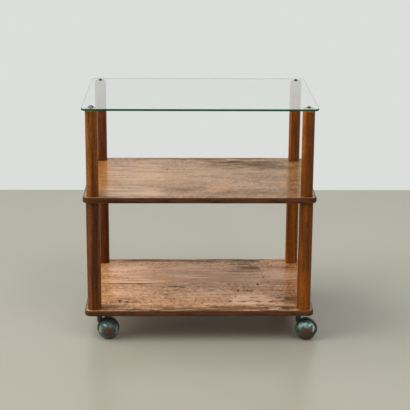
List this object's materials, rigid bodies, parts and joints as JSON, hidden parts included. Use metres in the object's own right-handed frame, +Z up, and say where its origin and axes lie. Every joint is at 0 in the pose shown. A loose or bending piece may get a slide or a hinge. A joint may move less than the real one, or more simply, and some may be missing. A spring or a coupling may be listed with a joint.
{
  "type": "dessert trolley",
  "caption": "Two-shelf timber trolley on hooded ball casters, with round posts in two stages and a clear glass top held down by screws.",
  "frame": {"origin": "on the floor below the middle of the trolley: the middle of the bottom of its bounding box", "axes": "+Z up, +X along the long side, the front edge faces -Y (the side the picture shows)"},
  "size_m": [0.7304, 0.51, 0.7322],
  "materials": {
    "clear_glass": "polished float glass, 6 mm",
    "post_timber": "aged brown lacquer, glossy",
    "shelf_timber": "worn brown lacquer, stained",
    "bright_cap": "polished plate",
    "bush_brass": "dull brass",
    "dark_screw": "darkened steel",
    "screw_steel": "plain steel",
    "pad_rubber": "matte",
    "caster_iron": "dark, oxidised",
    "caster_steel": "dull steel",
    "wheel_iron": "dull",
    "tread_rubber": "hard rubber, worn",
    "dome_brass": "patinated, blue-green round a brown centre"
  },
  "bodies": {
    "trolley": {"glass_top": "clear_glass", "mid_shelf": "shelf_timber", "lower_shelf": "shelf_timber", "lower_post_screws": "screw_steel", "caster_plate_screws": "screw_steel", "dome_cap_front_left": "bright_cap", "glass_pad_front_left": "pad_rubber", "screw_bush_front_left": "bush_brass", "glass_screw_front_left": "dark_screw", "upper_post_front_left": "post_timber", "post_stud_front_left": "screw_steel", "lower_post_front_left": "post_timber", "caster_plate_front_left": "caster_iron", "glass_pad_front_right": "pad_rubber", "screw_bush_front_right": "bush_brass", "glass_screw_front_right": "dark_screw", "upper_post_front_right": "post_timber", "post_stud_front_right": "screw_steel", "lower_post_front_right": "post_timber", "caster_plate_front_right": "caster_iron", "glass_pad_rear_left": "pad_rubber", "screw_bush_rear_left": "bush_brass", "glass_screw_rear_left": "dark_screw", "upper_post_rear_left": "post_timber", "post_stud_rear_left": "screw_steel", "lower_post_rear_left": "post_timber", "caster_plate_rear_left": "caster_iron", "glass_pad_rear_right": "pad_rubber", "screw_bush_rear_right": "bush_brass", "glass_screw_rear_right": "dark_screw", "upper_post_rear_right": "post_timber", "post_stud_rear_right": "screw_steel", "lower_post_rear_right": "post_timber", "caster_plate_rear_right": "caster_iron"},
    "swivel_front_left": {"caster_stem_front_left": "caster_steel", "caster_hood_front_left": "caster_iron", "caster_axle_front_left": "caster_steel"},
    "roller_front_left": {"caster_wheel_front_left": "wheel_iron", "caster_tread_front_left": "tread_rubber", "caster_dome_front_left": "dome_brass"},
    "swivel_front_right": {"caster_stem_front_right": "caster_steel", "caster_hood_front_right": "caster_iron", "caster_axle_front_right": "caster_steel"},
    "roller_front_right": {"caster_wheel_front_right": "wheel_iron", "caster_tread_front_right": "tread_rubber", "caster_dome_front_right": "dome_brass"},
    "swivel_rear_left": {"caster_stem_rear_left": "caster_steel", "caster_hood_rear_left": "caster_iron", "caster_axle_rear_left": "caster_steel"},
    "roller_rear_left": {"caster_wheel_rear_left": "wheel_iron", "caster_tread_rear_left": "tread_rubber", "caster_dome_rear_left": "dome_brass"},
    "swivel_rear_right": {"caster_stem_rear_right": "caster_steel", "caster_hood_rear_right": "caster_iron", "caster_axle_rear_right": "caster_steel"},
    "roller_rear_right": {"caster_wheel_rear_right": "wheel_iron", "caster_tread_rear_right": "tread_rubber", "caster_dome_rear_right": "dome_brass"}
  },
  "joints": [
    {"name": "swivel_turn_front_left", "type": "hinge", "parent": "trolley", "child": "swivel_front_left", "pos_m": [-0.3055, -0.2135, 0.08], "axis": [0, 0, 1], "continuous": true},
    {"name": "wheel_spin_front_left", "type": "hinge", "parent": "swivel_front_left", "child": "roller_front_left", "pos_m": [-0.27964, -0.21078, 0.032], "axis": [-0.1045, 0.9945, 0], "continuous": true},
    {"name": "swivel_turn_front_right", "type": "hinge", "parent": "trolley", "child": "swivel_front_right", "pos_m": [0.3055, -0.2135, 0.08], "axis": [0, 0, 1], "continuous": true},
    {"name": "wheel_spin_front_right", "type": "hinge", "parent": "swivel_front_right", "child": "roller_front_right", "pos_m": [0.33083, -0.21935, 0.032], "axis": [0.225, 0.9744, 0], "continuous": true},
    {"name": "swivel_turn_rear_left", "type": "hinge", "parent": "trolley", "child": "swivel_rear_left", "pos_m": [-0.3055, 0.2135, 0.08], "axis": [0, 0, 1], "continuous": true},
    {"name": "wheel_spin_rear_left", "type": "hinge", "parent": "swivel_rear_left", "child": "roller_rear_left", "pos_m": [-0.33125, 0.21712, 0.032], "axis": [-0.1392, -0.9903, 0], "continuous": true},
    {"name": "swivel_turn_rear_right", "type": "hinge", "parent": "trolley", "child": "swivel_rear_right", "pos_m": [0.3055, 0.2135, 0.08], "axis": [0, 0, 1], "continuous": true},
    {"name": "wheel_spin_rear_right", "type": "hinge", "parent": "swivel_rear_right", "child": "roller_rear_right", "pos_m": [0.2799, 0.20899, 0.032], "axis": [0.1736, -0.9848, 0], "continuous": true}
  ]
}
